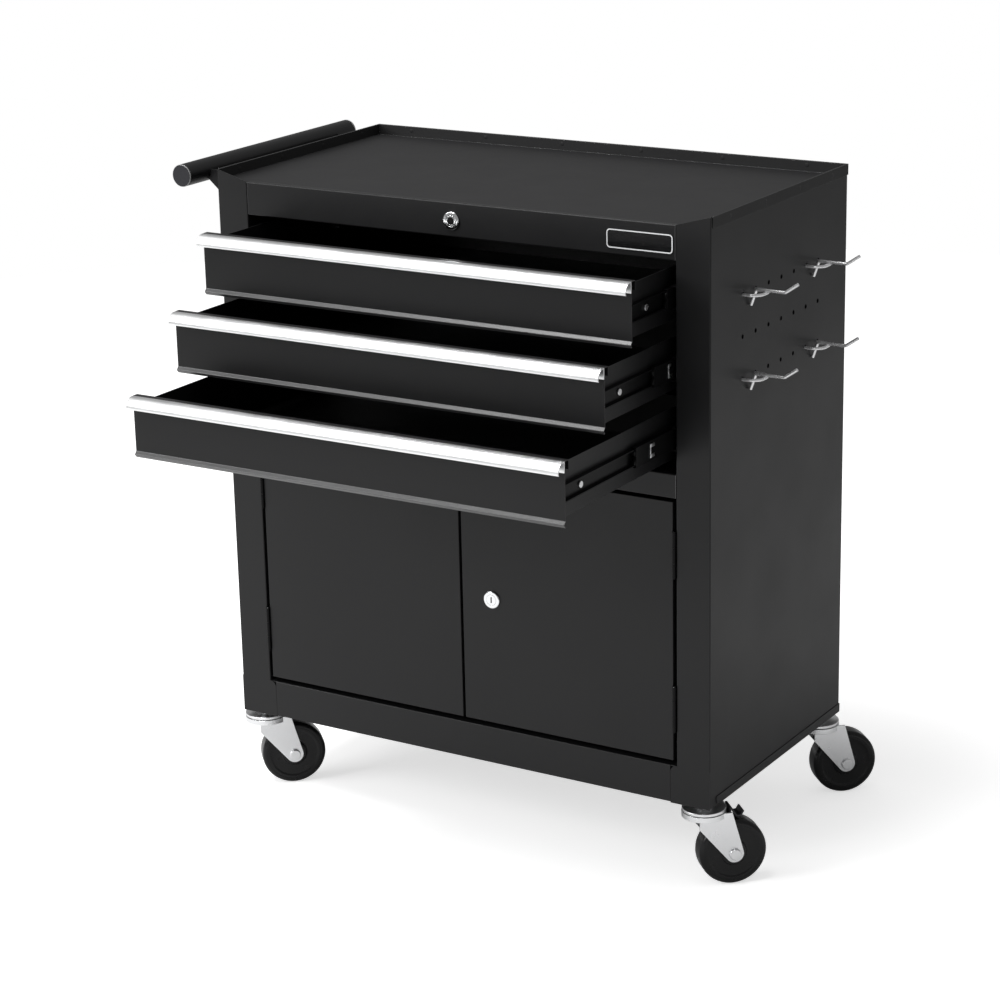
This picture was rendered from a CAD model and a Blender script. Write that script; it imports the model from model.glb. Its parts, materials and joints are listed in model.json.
"""Rolling tool chest: the finished look of every piece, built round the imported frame."""

import json
import logging
import math
from collections.abc import Callable
from dataclasses import dataclass
from enum import Enum

import bmesh
import bpy
from mathutils import Matrix, Vector

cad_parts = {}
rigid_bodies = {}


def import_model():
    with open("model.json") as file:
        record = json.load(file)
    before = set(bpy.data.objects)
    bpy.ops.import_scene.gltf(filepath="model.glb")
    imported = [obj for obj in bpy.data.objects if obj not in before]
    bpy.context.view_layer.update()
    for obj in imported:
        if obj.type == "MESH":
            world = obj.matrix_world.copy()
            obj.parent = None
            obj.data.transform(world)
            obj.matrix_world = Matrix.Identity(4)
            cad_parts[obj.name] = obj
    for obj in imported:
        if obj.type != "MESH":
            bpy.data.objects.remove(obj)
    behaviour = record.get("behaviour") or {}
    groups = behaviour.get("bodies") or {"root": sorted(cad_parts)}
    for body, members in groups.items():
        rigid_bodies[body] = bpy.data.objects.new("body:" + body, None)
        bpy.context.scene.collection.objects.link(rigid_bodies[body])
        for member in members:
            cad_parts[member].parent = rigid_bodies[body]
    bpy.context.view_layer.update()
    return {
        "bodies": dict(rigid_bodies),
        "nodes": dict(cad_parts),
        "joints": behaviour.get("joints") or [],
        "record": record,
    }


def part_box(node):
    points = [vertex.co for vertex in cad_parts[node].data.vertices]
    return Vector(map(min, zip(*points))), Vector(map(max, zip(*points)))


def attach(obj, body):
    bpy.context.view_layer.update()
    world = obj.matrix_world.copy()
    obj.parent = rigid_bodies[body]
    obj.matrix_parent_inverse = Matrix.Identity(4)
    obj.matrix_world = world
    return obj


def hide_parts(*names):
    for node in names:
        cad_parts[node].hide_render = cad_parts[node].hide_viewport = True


MM = 0.001
CREASE_DEG = 35.0
FLAT_DEG = 0.5
JOIN_GAP = 2e-6
EDGE_INDEX = 1
LOG = logging.getLogger("tool_chest")
Frame = dict[str, object]
Colour = tuple[float, float, float]


# ---------------------------------------------------------------- finishes
class Grain(Enum):
    """How the small marks of a surface run."""

    EVEN = (1.0, 1.0, 1.0)
    ALONG_X = (0.02, 1.0, 1.0)
    ALONG_Y = (1.0, 0.02, 1.0)
    ALONG_Z = (1.0, 1.0, 0.04)


def new_socket(tree: bpy.types.NodeTree, name: str, way: str, kind: str, value: float | None = None) -> None:
    """Add one named socket to a shader group.

    Args:
        tree: The group that gets the socket.
        name: The socket's name.
        way: INPUT or OUTPUT.
        kind: The socket type's name.
        value: The default of an input, where it has one.
    """
    socket = tree.interface.new_socket(name=name, in_out=way, socket_type=kind)
    if value is not None:
        socket.default_value = value


def make_surface_group() -> bpy.types.NodeTree:
    """Build the group that gives every finish its mottling, roughness and fine relief.

    Returns:
        The group, with Shade, Roughness and Height outputs.
    """
    tree = bpy.data.node_groups.new("surface_grain", "ShaderNodeTree")
    new_socket(tree, "Position", "INPUT", "NodeSocketVector")
    new_socket(tree, "Fine Scale", "INPUT", "NodeSocketFloat", 900.0)
    new_socket(tree, "Broad Scale", "INPUT", "NodeSocketFloat", 12.0)
    new_socket(tree, "Mottle", "INPUT", "NodeSocketFloat", 0.1)
    new_socket(tree, "Roughness Low", "INPUT", "NodeSocketFloat", 0.35)
    new_socket(tree, "Roughness High", "INPUT", "NodeSocketFloat", 0.5)
    new_socket(tree, "Shade", "OUTPUT", "NodeSocketFloat")
    new_socket(tree, "Roughness", "OUTPUT", "NodeSocketFloat")
    new_socket(tree, "Height", "OUTPUT", "NodeSocketFloat")
    nodes, links = tree.nodes, tree.links
    came = nodes.new("NodeGroupInput")
    goes = nodes.new("NodeGroupOutput")

    fine = nodes.new("ShaderNodeTexNoise")
    fine.inputs["Detail"].default_value = 3.0
    broad = nodes.new("ShaderNodeTexNoise")
    broad.inputs["Detail"].default_value = 4.0
    for noise, scale in ((fine, "Fine Scale"), (broad, "Broad Scale")):
        links.new(came.outputs["Position"], noise.inputs["Vector"])
        links.new(came.outputs[scale], noise.inputs["Scale"])

    mixed = nodes.new("ShaderNodeMath")
    mixed.operation = "ADD"
    links.new(fine.outputs["Fac"], mixed.inputs[0])
    links.new(broad.outputs["Fac"], mixed.inputs[1])
    centred = nodes.new("ShaderNodeMath")
    centred.operation = "SUBTRACT"
    links.new(mixed.outputs[0], centred.inputs[0])
    centred.inputs[1].default_value = 1.0
    shade = nodes.new("ShaderNodeMath")
    shade.operation = "MULTIPLY_ADD"
    links.new(centred.outputs[0], shade.inputs[0])
    links.new(came.outputs["Mottle"], shade.inputs[1])
    shade.inputs[2].default_value = 1.0
    links.new(shade.outputs[0], goes.inputs["Shade"])

    rough = nodes.new("ShaderNodeMapRange")
    links.new(broad.outputs["Fac"], rough.inputs["Value"])
    rough.inputs["From Min"].default_value = 0.3
    rough.inputs["From Max"].default_value = 0.7
    links.new(came.outputs["Roughness Low"], rough.inputs["To Min"])
    links.new(came.outputs["Roughness High"], rough.inputs["To Max"])
    links.new(rough.outputs["Result"], goes.inputs["Roughness"])
    links.new(fine.outputs["Fac"], goes.inputs["Height"])
    return tree


@dataclass(frozen=True)
class Finish:
    """One finish of the chest: its colour, gloss and grain.

    The colour varies by the mottle share, and the relief height is in metres.
    """

    name: str
    slot: str
    colour: Colour
    metallic: float = 0.0
    rough: tuple[float, float] = (0.35, 0.5)
    mottle: float = 0.1
    fine_scale: float = 900.0
    broad_scale: float = 12.0
    relief: float = 0.00002
    grain: Grain = Grain.EVEN
    coat: float = 0.0
    coat_rough: float = 0.1
    specular: float = 0.5

    def material(self) -> bpy.types.Material:
        """Give this finish's material, made at first use.

        Returns:
            The node material.
        """
        found = bpy.data.materials.get(self.name)
        return found if found else self._build()

    def _build(self) -> bpy.types.Material:
        """Build the node material.

        Returns:
            The new material.
        """
        material = bpy.data.materials.new(self.name)
        material.use_nodes = True
        nodes, links = material.node_tree.nodes, material.node_tree.links
        shader = nodes["Principled BSDF"]
        shader.inputs["Metallic"].default_value = self.metallic
        shader.inputs["Coat Weight"].default_value = self.coat
        shader.inputs["Coat Roughness"].default_value = self.coat_rough
        shader.inputs["Specular IOR Level"].default_value = self.specular
        place = nodes.new("ShaderNodeTexCoord")
        stretch = nodes.new("ShaderNodeMapping")
        stretch.inputs["Scale"].default_value = self.grain.value
        links.new(place.outputs["Object"], stretch.inputs["Vector"])
        group = nodes.new("ShaderNodeGroup")
        group.node_tree = bpy.data.node_groups.get("surface_grain") or make_surface_group()
        links.new(stretch.outputs["Vector"], group.inputs["Position"])
        for name, value in (
            ("Fine Scale", self.fine_scale),
            ("Broad Scale", self.broad_scale),
            ("Mottle", self.mottle),
            ("Roughness Low", self.rough[0]),
            ("Roughness High", self.rough[1]),
        ):
            group.inputs[name].default_value = value
        tint = nodes.new("ShaderNodeVectorMath")
        tint.operation = "SCALE"
        tint.inputs[0].default_value = self.colour
        links.new(group.outputs["Shade"], tint.inputs["Scale"])
        links.new(tint.outputs["Vector"], shader.inputs["Base Color"])
        links.new(group.outputs["Roughness"], shader.inputs["Roughness"])
        bump = nodes.new("ShaderNodeBump")
        bump.inputs["Distance"].default_value = self.relief
        links.new(group.outputs["Height"], bump.inputs["Height"])
        links.new(bump.outputs["Normal"], shader.inputs["Normal"])
        return material


POWDER_COAT = Finish("satin_powder_coat", "black_coat", (0.0085, 0.0085, 0.0090), rough=(0.36, 0.44), mottle=0.16,
                     fine_scale=1400.0, broad_scale=9.0, relief=0.00003, specular=0.30)
COAT_EDGE = Finish("coat_on_fold_edges", "black_coat", (0.110, 0.110, 0.112), rough=(0.22, 0.28), mottle=0.10,
                   fine_scale=1400.0, broad_scale=9.0, relief=0.000004, specular=0.9)
BEAD_COAT = Finish("coat_on_lower_beads", "black_coat", (0.050, 0.050, 0.051), rough=(0.30, 0.38), mottle=0.12,
                   fine_scale=1400.0, broad_scale=9.0, relief=0.00001, specular=0.8)
CAP_EDGE = Finish("cap_edge_gloss", "cap_plastic", (0.30, 0.30, 0.30), rough=(0.20, 0.28), mottle=0.08,
                  fine_scale=1500.0, broad_scale=25.0, relief=0.000003, specular=0.9)
TRAY_COAT = Finish("tray_powder_coat", "black_coat", (0.0120, 0.0120, 0.0125), rough=(0.50, 0.58), mottle=0.30,
                   fine_scale=420.0, broad_scale=14.0, relief=0.00003, specular=0.30)
PULL_METAL = Finish("bright_aluminium", "pull_metal", (0.94, 0.945, 0.95), metallic=1.0, rough=(0.30, 0.36),
                    mottle=0.02, fine_scale=2600.0, broad_scale=40.0, relief=0.000002)
ZINC = Finish("bright_zinc", "zinc", (0.86, 0.865, 0.875), metallic=1.0, rough=(0.26, 0.34), mottle=0.05,
              fine_scale=500.0, broad_scale=40.0, relief=0.000001)
HOOK_ZINC = Finish("hook_zinc", "zinc", (0.86, 0.86, 0.87), metallic=0.7, rough=(0.24, 0.32), mottle=0.05,
                   fine_scale=900.0, broad_scale=90.0, relief=0.000002)
CHROME = Finish("polished_chrome", "chrome", (0.84, 0.85, 0.86), metallic=1.0, rough=(0.06, 0.12), mottle=0.03,
                fine_scale=500.0, broad_scale=30.0, relief=0.000001)
SLIDE_STEEL = Finish("slide_black_steel", "slide_steel", (0.0040, 0.0040, 0.0043), rough=(0.28, 0.36), mottle=0.2,
                     fine_scale=1200.0, broad_scale=20.0, relief=0.00001, grain=Grain.ALONG_Y, specular=0.12)
WHEEL_PLASTIC = Finish("wheel_gloss_plastic", "wheel_plastic", (0.0065, 0.0065, 0.0070), rough=(0.22, 0.30),
                       mottle=0.12, fine_scale=800.0, broad_scale=30.0, relief=0.000006, specular=0.30)
BRAKE_COAT = Finish("brake_black", "brake_black", (0.0085, 0.0085, 0.0090), rough=(0.26, 0.36), mottle=0.12,
                    fine_scale=1000.0, broad_scale=25.0, relief=0.000008, specular=0.35)
CAP_PLASTIC = Finish("cap_plastic", "cap_plastic", (0.0140, 0.0140, 0.0145), rough=(0.30, 0.40), mottle=0.10,
                     fine_scale=1500.0, broad_scale=25.0, relief=0.00001, specular=0.35)
CATCH_PLASTIC = Finish("catch_plastic", "catch_plastic", (0.62, 0.62, 0.60), rough=(0.45, 0.6), mottle=0.06,
                       fine_scale=900.0, broad_scale=25.0, relief=0.00001)
KEY_DARK = Finish("key_recess_dark", "chrome", (0.004, 0.004, 0.004), rough=(0.5, 0.6), mottle=0.1,
                  fine_scale=900.0, broad_scale=40.0, relief=0.000003, specular=0.2)
BADGE_BLACK = Finish("badge_gloss_black", "badge", (0.0060, 0.0060, 0.0065), rough=(0.14, 0.22), mottle=0.1,
                     fine_scale=700.0, broad_scale=40.0, relief=0.000003, specular=0.4)
BADGE_PALE = Finish("badge_pale_border", "badge", (0.86, 0.87, 0.88), rough=(0.25, 0.35), mottle=0.04,
                    fine_scale=700.0, broad_scale=40.0, relief=0.000003)


# ---------------------------------------------------------------- mesh helpers
def new_piece(
    mesh: bmesh.types.BMesh,
    name: str,
    finish: Finish,
    sharp_deg: float = CREASE_DEG,
    edge_finish: Finish | None = None,
) -> bpy.types.Object:
    """Turn a bmesh into a finished piece with smooth shading and its material.

    Args:
        mesh: The shape, in the row frame, in metres. It is freed.
        name: The piece's name.
        finish: The piece's finish.
        sharp_deg: Edges sharper than this stay crisp.
        edge_finish: The finish of the faces with material index 1, where there are any.

    Returns:
        The new object, at the origin.
    """
    data = bpy.data.meshes.new(name)
    mesh.to_mesh(data)
    mesh.free()
    for face in data.polygons:
        face.use_smooth = True
    data.set_sharp_from_angle(angle=math.radians(sharp_deg))
    data.materials.append(finish.material())
    if edge_finish:
        data.materials.append(edge_finish.material())
    piece = bpy.data.objects.new(name, data)
    bpy.context.scene.collection.objects.link(piece)
    LOG.info("%s: %d faces", name, len(data.polygons))
    return piece


def crease_edges(mesh: bmesh.types.BMesh, angle_deg: float) -> list[bmesh.types.BMEdge]:
    """Find the edges where two faces meet more sharply than an angle.

    Args:
        mesh: The shape to search.
        angle_deg: The least angle between the faces' normals.

    Returns:
        The sharp edges.
    """
    limit = math.radians(angle_deg)
    return [e for e in mesh.edges if len(e.link_faces) == 2 and e.calc_face_angle(0.0) > limit]


def round_creases(mesh: bmesh.types.BMesh, width: float, segments: int = 2, material: int = 0) -> None:
    """Round the sharp edges of a shape.

    Args:
        mesh: The shape to round.
        width: The bevel's width, in metres.
        segments: How many faces each rounding gets.
        material: The material index of the new faces.
    """
    rounded = bmesh.ops.bevel(
        mesh,
        geom=crease_edges(mesh, CREASE_DEG),
        offset=width,
        offset_type="OFFSET",
        segments=segments,
        profile=0.5,
        affect="EDGES",
        clamp_overlap=True,
        material=-1,
    )
    for face in rounded["faces"]:
        face.material_index = material


def merged_copy(node: str) -> bmesh.types.BMesh:
    """Copy a frame node's mesh with its loose triangles joined into flat faces.

    Args:
        node: The frame node's name.

    Returns:
        The joined copy.
    """
    mesh = bmesh.new()
    mesh.from_mesh(bpy.data.objects[node].data)
    bmesh.ops.remove_doubles(mesh, verts=mesh.verts, dist=JOIN_GAP)
    bmesh.ops.dissolve_limit(
        mesh, angle_limit=math.radians(FLAT_DEG), verts=mesh.verts, edges=mesh.edges, delimit={"NORMAL"}
    )
    return mesh


def soften(
    node: str,
    body: str,
    finish: Finish,
    width_mm: float,
    segments: int = 2,
    edge_finish: Finish | None = None,
    mark: Callable[[bmesh.types.BMesh], None] | None = None,
) -> bpy.types.Object:
    """Stand a copy with rounded edges in for a frame node.

    Args:
        node: The frame node's name.
        body: The body that the piece rides on.
        finish: The piece's finish.
        width_mm: The width of the edge rounding.
        segments: How many faces each rounding gets.
        edge_finish: The finish of the rounded edges, where it isn't the piece's own.
        mark: Gives more faces the edge finish.

    Returns:
        The new piece.
    """
    mesh = merged_copy(node)
    round_creases(mesh, width_mm * MM, segments, EDGE_INDEX if edge_finish else 0)
    if mark:
        mark(mesh)
    piece = new_piece(mesh, f"{node}_finished", finish, edge_finish=edge_finish)
    smooth = piece.modifiers.new("even_normals", "WEIGHTED_NORMAL")
    smooth.keep_sharp = True
    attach(piece, body)
    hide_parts(node)
    return piece


def spun_profile(points: list[tuple[float, float]], steps: int = 96) -> bmesh.types.BMesh:
    """Turn a closed half-section about the Z axis.

    Args:
        points: Radius and height of each corner, in millimetres.
        steps: How many faces go round.

    Returns:
        The turned shape, standing on the origin's axis.
    """
    mesh = bmesh.new()
    ring = [mesh.verts.new((r * MM, 0.0, z * MM)) for r, z in points]
    edges = [mesh.edges.new((a, b)) for a, b in zip(ring, ring[1:] + ring[:1])]
    bmesh.ops.spin(
        mesh,
        geom=ring + edges,
        cent=(0.0, 0.0, 0.0),
        axis=(0.0, 0.0, 1.0),
        angle=2 * math.pi,
        steps=steps,
        use_merge=True,
        use_duplicate=False,
    )
    bmesh.ops.remove_doubles(mesh, verts=mesh.verts, dist=1e-6)
    bmesh.ops.recalc_face_normals(mesh, faces=mesh.faces)
    return mesh


def rounded_block(size_mm: tuple[float, float, float], width_mm: float, segments: int = 2) -> bmesh.types.BMesh:
    """A block about the origin with rounded edges.

    Args:
        size_mm: Its length along X, Y and Z.
        width_mm: The width of the edge rounding.
        segments: How many faces each rounding gets.

    Returns:
        The block.
    """
    mesh = bmesh.new()
    bmesh.ops.create_cube(mesh, size=1.0, matrix=Matrix.Diagonal((*[s * MM for s in size_mm], 1.0)))
    round_creases(mesh, width_mm * MM, segments)
    return mesh


def absorb(target: bmesh.types.BMesh, source: bmesh.types.BMesh) -> None:
    """Add one shape to another and free it.

    Args:
        target: The shape that grows.
        source: The shape that is added and then freed.
    """
    scratch = bpy.data.meshes.new("scratch")
    source.to_mesh(scratch)
    source.free()
    target.from_mesh(scratch)
    bpy.data.meshes.remove(scratch)


def joint_named(frame: Frame, name: str) -> dict:
    """Find a joint of the frame by name.

    Args:
        frame: The loaded frame.
        name: The joint's name.

    Returns:
        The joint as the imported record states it.
    """
    return next(j for j in frame["joints"] if j["name"] == name)


def axis_place(joint: dict) -> Matrix:
    """Give the matrix that carries the Z axis at the origin to a joint's axis.

    Args:
        joint: The joint, with its place and axis.

    Returns:
        The matrix.
    """
    turn = Vector((0.0, 0.0, 1.0)).rotation_difference(Vector(joint["axis"]))
    return Matrix.Translation(Vector(joint["pos_m"])) @ turn.to_matrix().to_4x4()


# ---------------------------------------------------------------- sub-assemblies
@dataclass
class CabinetShell:
    """The fixed sheet-metal body: panels, rails, shelf, pan, tray and what is fixed to them."""

    edge_mm: float = 0.38
    sheets: tuple[str, ...] = (
        "side_panel_left",
        "side_panel_right",
        "back_panel",
        "top_rail",
        "divider_shelf",
        "base_pan",
        "rear_uprights",
    )
    weld_radius_mm: float = 2.4
    weld_rise_mm: float = 0.25
    weld_pitch_mm: float = 104.0
    weld_side_pitch_mm: float = 81.0
    back_welds: int = 6
    side_welds: int = 4
    back_lip_mm: float = 3.25
    side_lip_mm: float = 2.45
    back_weld_drop_mm: float = 4.6
    side_weld_drop_mm: float = 6.1

    def build(self) -> None:
        """Dress every sheet, then add the tray and its weld marks."""
        for sheet in self.sheets:
            soften(sheet, "cabinet", POWDER_COAT, self.edge_mm, edge_finish=COAT_EDGE)
        soften("tray_top", "cabinet", TRAY_COAT, self.edge_mm, edge_finish=COAT_EDGE)
        self._tray_welds()

    def _tray_welds(self) -> None:
        """Press a row of shallow spot-weld marks into the tray's inner lips."""
        _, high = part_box("tray_top")
        mesh = bmesh.new()
        y, z = high.y - self.back_lip_mm * MM, high.z - self.back_weld_drop_mm * MM
        for i in range(self.back_welds):
            x = (i - (self.back_welds - 1) / 2) * self.weld_pitch_mm * MM
            self._weld(mesh, Vector((x, y, z)), Vector((0, -1, 0)))
        z = high.z - self.side_weld_drop_mm * MM
        for side in (-1, 1):
            x = side * (high.x - self.side_lip_mm * MM)
            for i in range(self.side_welds):
                y = (i - (self.side_welds - 1) / 2) * self.weld_side_pitch_mm * MM
                self._weld(mesh, Vector((x, y, z)), Vector((-side, 0, 0)))
        piece = new_piece(mesh, "tray_weld_marks", TRAY_COAT)
        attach(piece, "cabinet")

    def _weld(self, mesh: bmesh.types.BMesh, centre: Vector, facing: Vector) -> None:
        """Add one low dome, facing away from a lip.

        Args:
            mesh: The shape that gets the dome.
            centre: The dome's middle, on the lip.
            facing: The way the dome faces.
        """
        turn = Vector((0, 0, 1)).rotation_difference(facing).to_matrix().to_4x4()
        flat = Matrix.Diagonal((1, 1, self.weld_rise_mm / self.weld_radius_mm, 1))
        bmesh.ops.create_uvsphere(
            mesh,
            u_segments=16,
            v_segments=8,
            radius=self.weld_radius_mm * MM,
            matrix=Matrix.Translation(centre) @ turn @ flat,
        )


@dataclass
class DrawerStack:
    """The three drawers with their pulls, slides and screws."""

    count: int = 3
    edge_mm: float = 0.2
    pull_edge_mm: float = 0.3
    bead_mm: float = 7.2
    cage_size_mm: tuple[float, float, float] = (0.8, 9.0, 15.0)
    cage_wall_mm: float = 4.0
    cage_setback_mm: float = 33.0
    cage_proud_mm: float = 0.5
    retainer_size_mm: tuple[float, float, float] = (3.0, 9.0, 20.0)
    retainer_depth_mm: float = 2.3
    retainer_setback_mm: float = 6.0
    retainer_tilt_deg: float = 32.0

    def build(self) -> None:
        """Dress each drawer and add the parts of its slides that show."""
        soften("slide_outer_members", "cabinet", SLIDE_STEEL, self.edge_mm)
        for number in range(1, self.count + 1):
            body = f"drawer_{number}"
            soften(f"{body}_tub", body, POWDER_COAT, self.edge_mm, edge_finish=BEAD_COAT, mark=self._mark_bead)
            soften(f"{body}_pull", body, PULL_METAL, self.pull_edge_mm)
            soften(f"{body}_slide_inner", body, SLIDE_STEEL, self.edge_mm)
            soften(f"{body}_screws", body, ZINC, 0.5, 3)
            soften(f"{body}_slide_middle", f"{body}_slide", SLIDE_STEEL, self.edge_mm)
            self._ball_cages(body)

    def _mark_bead(self, mesh: bmesh.types.BMesh) -> None:
        """Give the bead along a drawer front's lower edge its own finish.

        Args:
            mesh: The drawer's tub.
        """
        front = min(v.co.y for v in mesh.verts)
        bottom = min(v.co.z for v in mesh.verts)
        for face in mesh.faces:
            middle = face.calc_center_median()
            if middle.y < front + self.bead_mm * MM / 2 and middle.z < bottom + self.bead_mm * MM:
                face.material_index = EDGE_INDEX

    def _ball_cages(self, body: str) -> None:
        """Add the black retainer and the bright cage end at the front of each middle member.

        Args:
            body: The drawer's body name.
        """
        low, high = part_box(f"{body}_slide_middle")
        middle_z = (low.z + high.z) / 2
        cages, retainers = bmesh.new(), bmesh.new()
        for side in (-1, 1):
            x, y = side * (high.x + self.cage_proud_mm * MM), low.y + self.cage_setback_mm * MM
            self._cage_end(cages, Vector((x, y, middle_z)))
            x, y = side * (high.x - self.retainer_depth_mm * MM), low.y + self.retainer_setback_mm * MM
            for tilt in (-1, 1):
                bar = rounded_block(self.retainer_size_mm, 0.6)
                turn = Matrix.Rotation(tilt * math.radians(self.retainer_tilt_deg), 4, "X")
                bmesh.ops.transform(bar, matrix=turn, verts=bar.verts)
                bmesh.ops.translate(bar, verts=bar.verts, vec=(x, y, middle_z))
                absorb(retainers, bar)
        for mesh, name, finish in ((cages, "ball_cages", ZINC), (retainers, "retainers", SLIDE_STEEL)):
            piece = new_piece(mesh, f"{body}_{name}", finish)
            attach(piece, f"{body}_slide")

    def _cage_end(self, cages: bmesh.types.BMesh, middle: Vector) -> None:
        """Add the end of one ball cage: two arms joined at the front.

        Args:
            cages: The shape that gets the cage end.
            middle: Its middle.
        """
        thick, length, height = self.cage_size_mm
        wall = self.cage_wall_mm
        rise = (height - wall) / 2
        for size, offset in (
            ((thick, length, wall), (0.0, 0.0, rise)),
            ((thick, length, wall), (0.0, 0.0, -rise)),
            ((thick, wall / 2, height - 2 * wall), (0.0, (wall / 2 - length) / 2, 0.0)),
        ):
            block = rounded_block(size, 0.3)
            bmesh.ops.translate(block, verts=block.verts, vec=middle + Vector(offset) * MM)
            absorb(cages, block)


@dataclass
class DoorPair:
    """The two cupboard doors with their hinges and magnetic catches."""

    edge_mm: float = 0.22

    def build(self) -> None:
        """Dress both doors, the hinges and the catches."""
        for side in ("left", "right"):
            body = f"door_{side}"
            soften(f"{body}_panel", body, POWDER_COAT, self.edge_mm)
            soften(f"{body}_hinge_leaves", body, SLIDE_STEEL, 0.15)
        soften("hinge_frame_leaves", "cabinet", SLIDE_STEEL, 0.15)
        soften("hinge_pins", "cabinet", ZINC, 0.2)
        soften("magnetic_catches", "cabinet", CATCH_PLASTIC, 0.6)


@dataclass
class LockSet:
    """The drawer lock with its rod and bar, and the door lock with its cam."""

    edge_mm: float = 0.3
    drawer_mouth_mm: tuple[float, float] = (3.9, 3.9)
    door_mouth_mm: tuple[float, float] = (0.7, 2.6)
    mouth_thick_mm: float = 0.08
    mouth_proud_mm: float = 0.02

    def build(self) -> None:
        """Dress the lock cases, cores and linkages."""
        for node, body, finish in (
            ("drawer_lock_housing", "cabinet", CHROME),
            ("drawer_lock_plug", "drawer_lock", CHROME),
            ("drawer_lock_rod", "drawer_lock", ZINC),
            ("lock_bar", "lock_bar", ZINC),
            ("door_lock_housing", "door_right", CHROME),
            ("door_lock_plug", "door_lock", CHROME),
            ("door_lock_cam", "door_lock", ZINC),
        ):
            soften(node, body, finish, self.edge_mm)
        self._key_mouth("drawer_lock_plug", "drawer_lock", self.drawer_mouth_mm)
        self._key_mouth("door_lock_plug", "door_lock", self.door_mouth_mm)

    def _key_mouth(self, node: str, body: str, half_mm: tuple[float, float]) -> None:
        """Darken the mouth of a keyway with a thin oval.

        Args:
            node: The lock core's frame node.
            body: The body that the mouth rides on.
            half_mm: Half the oval's width and half its height.
        """
        low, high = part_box(node)
        mesh = bmesh.new()
        bmesh.ops.create_cone(mesh, cap_ends=True, segments=40, radius1=1.0, radius2=1.0, depth=1.0)
        face_y = low.y - self.mouth_proud_mm * MM
        place = Matrix.Translation(((low.x + high.x) / 2, face_y, (low.z + high.z) / 2))
        turn = Matrix.Rotation(math.pi / 2, 4, "X")
        size = Matrix.Diagonal((half_mm[0] * MM, half_mm[1] * MM, self.mouth_thick_mm * MM, 1.0))
        bmesh.ops.transform(mesh, matrix=place @ turn @ size, verts=mesh.verts)
        piece = new_piece(mesh, f"{node}_mouth", KEY_DARK)
        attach(piece, body)


@dataclass
class PushHandle:
    """The push bar on the left side, its end caps and its brackets."""

    edge_mm: float = 0.4

    def build(self) -> None:
        """Dress the bar, its brackets and the end caps with their bright rims."""
        soften("handle_bar", "cabinet", POWDER_COAT, self.edge_mm)
        soften("handle_end_caps", "cabinet", CAP_PLASTIC, 0.5, 3, edge_finish=CAP_EDGE)
        soften("handle_brackets", "cabinet", POWDER_COAT, 0.3)
        soften("handle_bracket_screws", "cabinet", ZINC, 0.5, 3)


@dataclass
class SideHooks:
    """The wire hooks on the pegboard side."""

    edge_mm: float = 0.7

    def build(self) -> None:
        """Dress the hooks with rounded wire ends."""
        soften("peg_hooks", "cabinet", HOOK_ZINC, self.edge_mm, 3)


@dataclass
class Badge:
    """The plain badge at the right of the top rail."""

    line_mm: float = 1.2
    line_sunk_mm: float = 0.05
    line_thick_mm: float = 0.17
    corner_mm: float = 4.0
    corner_steps: int = 8

    def build(self) -> None:
        """Dress the plate, and lay a pale line just inside its edge."""
        soften("badge_plate", "cabinet", BADGE_BLACK, 0.15)
        low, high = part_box("badge_plate")
        size = (high - low) / MM
        middle = (low + high) / 2
        line, back = self.line_mm, self.line_sunk_mm
        front = back - self.line_thick_mm
        outer = self._outline(size.x, size.z, self.corner_mm)
        inner = self._outline(size.x - 2 * line, size.z - 2 * line, self.corner_mm - line)
        mesh = bmesh.new()
        loops = []
        for outline, depth in ((outer, back), (outer, front), (inner, front), (inner, back)):
            y = low.y + depth * MM
            ring = [mesh.verts.new((middle.x + x * MM, y, middle.z + z * MM)) for x, z in outline]
            loops.append([mesh.edges.new(pair) for pair in zip(ring, ring[1:] + ring[:1])])
        for near, far in zip(loops, loops[1:] + loops[:1]):
            bmesh.ops.bridge_loops(mesh, edges=near + far)
        bmesh.ops.recalc_face_normals(mesh, faces=mesh.faces)
        piece = new_piece(mesh, "badge_border_line", BADGE_PALE)
        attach(piece, "cabinet")

    def _outline(self, width: float, height: float, corner: float) -> list[tuple[float, float]]:
        """Give a rounded rectangle's points about the origin, in millimetres.

        Args:
            width: Its whole width.
            height: Its whole height.
            corner: The radius of its corners.

        Returns:
            The points, in order.
        """
        points = []
        for quarter, (sx, sz) in enumerate(((1, 1), (-1, 1), (-1, -1), (1, -1))):
            cx, cz = sx * (width / 2 - corner), sz * (height / 2 - corner)
            for step in range(self.corner_steps + 1):
                angle = math.pi / 2 * (quarter + step / self.corner_steps)
                points.append((cx + corner * math.cos(angle), cz + corner * math.sin(angle)))
        return points


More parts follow.
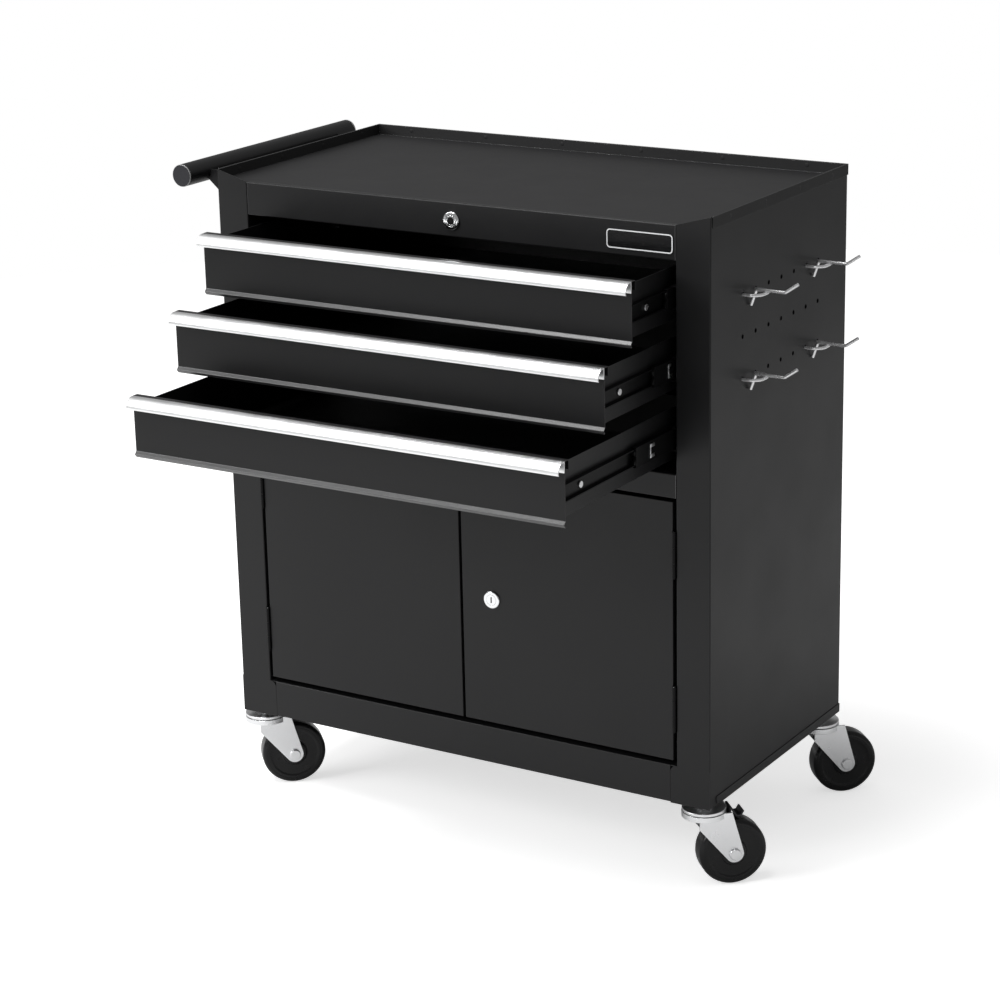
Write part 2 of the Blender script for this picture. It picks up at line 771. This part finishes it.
@dataclass
class Caster:
    """One swivel caster: race, fork, axle and wheel."""

    place: str
    frame: Frame
    wheel_radius_mm: float = 37.5
    wheel_half_mm: float = 12.5
    tread_corner_mm: float = 5.0
    tread_corner_steps: int = 8

    def build(self) -> None:
        """Dress the fork and axle, and model the wheel."""
        body = f"caster_{self.place}"
        soften(f"{body}_fork", body, ZINC, 0.7, 3, edge_finish=CHROME)
        soften(f"{body}_axle", body, ZINC, 1.2, 3)
        self._wheel(f"{body}_wheel")
        if self.place.startswith("front"):
            soften(f"{body}_brake", f"{body}_brake", BRAKE_COAT, 0.5, 2)

    def _wheel(self, node: str) -> None:
        """Model the moulded wheel: crowned tread, stepped rim, web and hub.

        Args:
            node: The wheel's frame node and body.
        """
        half, tread, corner = self.wheel_half_mm, self.wheel_radius_mm, self.tread_corner_mm
        side = [
            (4.1, 14.5), (7.6, 14.5), (8.2, 13.8), (12.6, 13.8), (13.6, 13.4), (14.6, 12.0), (15.4, 11.5),
            (26.6, 11.5), (27.6, 11.7), (28.8, 12.4), (29.6, 12.5), (31.4, 12.5), (31.7, 12.3),
            (32.3, 12.3), (32.6, 12.5),
        ]
        shoulder = [
            (tread - corner + corner * math.sin(a), half - corner + corner * math.cos(a))
            for a in (i * math.pi / 2 / self.tread_corner_steps for i in range(self.tread_corner_steps + 1))
        ]
        upper = side + shoulder
        profile = upper + [(r, -z) for r, z in reversed(upper)]
        mesh = spun_profile(profile, 128)
        place = axis_place(joint_named(self.frame, f"caster_{self.place}_roll"))
        bmesh.ops.transform(mesh, matrix=place, verts=mesh.verts)
        piece = new_piece(mesh, f"{node}_finished", WHEEL_PLASTIC, 30.0)
        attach(piece, node)
        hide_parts(node)


@dataclass
class CasterSet:
    """All four casters and what holds them to the pan."""

    frame: Frame
    places: tuple[str, ...] = ("front_left", "front_right", "back_left", "back_right")

    def build(self) -> None:
        """Dress the stems and nuts, then build each caster."""
        soften("caster_stems", "cabinet", ZINC, 0.6, 3)
        soften("caster_nuts", "cabinet", ZINC, 0.5, 2)
        for place in self.places:
            Caster(place, self.frame).build()


# ---------------------------------------------------------------- studio
@dataclass
class Studio:
    """The plain floor, soft lights and the camera."""

    azimuth_deg: float = 31.897
    elevation_deg: float = 17.321
    roll_deg: float = -1.248
    distance: float = 3.2062
    target: tuple[float, float, float] = (-0.04785, 0.0, 0.3457)
    lens: float = 100.37
    ambient: float = 0.29
    floor_lift: float = 0.62
    floor_radius: float = 3.0
    lights: tuple[tuple[str, tuple[float, float, float], float, float], ...] = (
        ("light_above", (-0.6, -1.0, 3.2), 1.5, 82.0),
        ("light_left", (-3.0, -3.4, 2.4), 2.2, 105.0),
    )

    def build(self) -> None:
        """Set up the floor, the world, the lights and the camera."""
        self._floor()
        self._world()
        self._lights()
        self._camera()
        bpy.context.scene.view_settings.view_transform = "Standard"

    def _floor(self) -> None:
        """Lay the pale floor."""
        mesh = bmesh.new()
        bmesh.ops.create_circle(mesh, cap_ends=True, segments=96, radius=self.floor_radius)
        data = bpy.data.meshes.new("floor")
        mesh.to_mesh(data)
        mesh.free()
        material = bpy.data.materials.new("floor_pale")
        material.use_nodes = True
        nodes, links = material.node_tree.nodes, material.node_tree.links
        shader = nodes["Principled BSDF"]
        path = nodes.new("ShaderNodeLightPath")
        lift = nodes.new("ShaderNodeMath")
        lift.operation = "MULTIPLY"
        lift.inputs[1].default_value = self.floor_lift
        links.new(path.outputs["Is Camera Ray"], lift.inputs[0])
        links.new(lift.outputs[0], shader.inputs["Emission Strength"])
        shader.inputs["Emission Color"].default_value = (1.0, 1.0, 1.0, 1.0)
        shader.inputs["Base Color"].default_value = (0.93, 0.93, 0.93, 1.0)
        shader.inputs["Roughness"].default_value = 0.9
        shader.inputs["Specular IOR Level"].default_value = 0.1
        data.materials.append(material)
        floor = bpy.data.objects.new("floor", data)
        bpy.context.scene.collection.objects.link(floor)

    def _world(self) -> None:
        """Light the room softly, and show it as white behind the chest."""
        world = bpy.data.worlds.new("studio")
        bpy.context.scene.world = world
        world.use_nodes = True
        nodes, links = world.node_tree.nodes, world.node_tree.links
        soft = nodes["Background"]
        soft.inputs["Color"].default_value = (1.0, 1.0, 1.0, 1.0)
        soft.inputs["Strength"].default_value = self.ambient
        seen = nodes.new("ShaderNodeBackground")
        seen.inputs["Color"].default_value = (1.0, 1.0, 1.0, 1.0)
        seen.inputs["Strength"].default_value = 1.0
        path = nodes.new("ShaderNodeLightPath")
        mix = nodes.new("ShaderNodeMixShader")
        links.new(path.outputs["Is Camera Ray"], mix.inputs["Fac"])
        links.new(soft.outputs[0], mix.inputs[1])
        links.new(seen.outputs[0], mix.inputs[2])
        links.new(mix.outputs[0], nodes["World Output"].inputs["Surface"])

    def _lights(self) -> None:
        """Hang two large soft lights: above, and to the front left."""
        for name, place, size, power in self.lights:
            lamp = bpy.data.lights.new(name, "AREA")
            lamp.shape = "SQUARE"
            lamp.size = size
            lamp.energy = power
            light = bpy.data.objects.new(name, lamp)
            light.location = place
            aim = Vector((0.0, 0.0, 0.4)) - Vector(place)
            light.rotation_euler = aim.to_track_quat("-Z", "Y").to_euler()
            bpy.context.scene.collection.objects.link(light)

    def _camera(self) -> None:
        """Place the camera at the viewing angle."""
        az, el, roll = (math.radians(v) for v in (self.azimuth_deg, self.elevation_deg, self.roll_deg))
        back = Vector((math.sin(az) * math.cos(el), -math.cos(az) * math.cos(el), math.sin(el)))
        right = Vector((math.cos(az), math.sin(az), 0.0))
        up = back.cross(right)
        across = right * math.cos(roll) + up * math.sin(roll)
        upward = up * math.cos(roll) - right * math.sin(roll)
        data = bpy.data.cameras.new("camera")
        data.lens = self.lens
        data.sensor_width = 36.0
        camera = bpy.data.objects.new("camera", data)
        turn = Matrix((across, upward, back)).transposed().to_4x4()
        camera.matrix_world = Matrix.Translation(Vector(self.target) + back * self.distance) @ turn
        bpy.context.scene.collection.objects.link(camera)
        bpy.context.scene.camera = camera


def main() -> None:
    """Build the whole chest in order, then the studio."""
    logging.basicConfig(level=logging.INFO, format="%(name)s %(message)s")
    frame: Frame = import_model()
    for part in (CabinetShell(), DrawerStack(), DoorPair(), LockSet(), PushHandle(), SideHooks(), Badge(),
                 CasterSet(frame)):
        part.build()
        LOG.info("%s built", type(part).__name__)
    Studio().build()


if __name__ == "__main__":
    main()
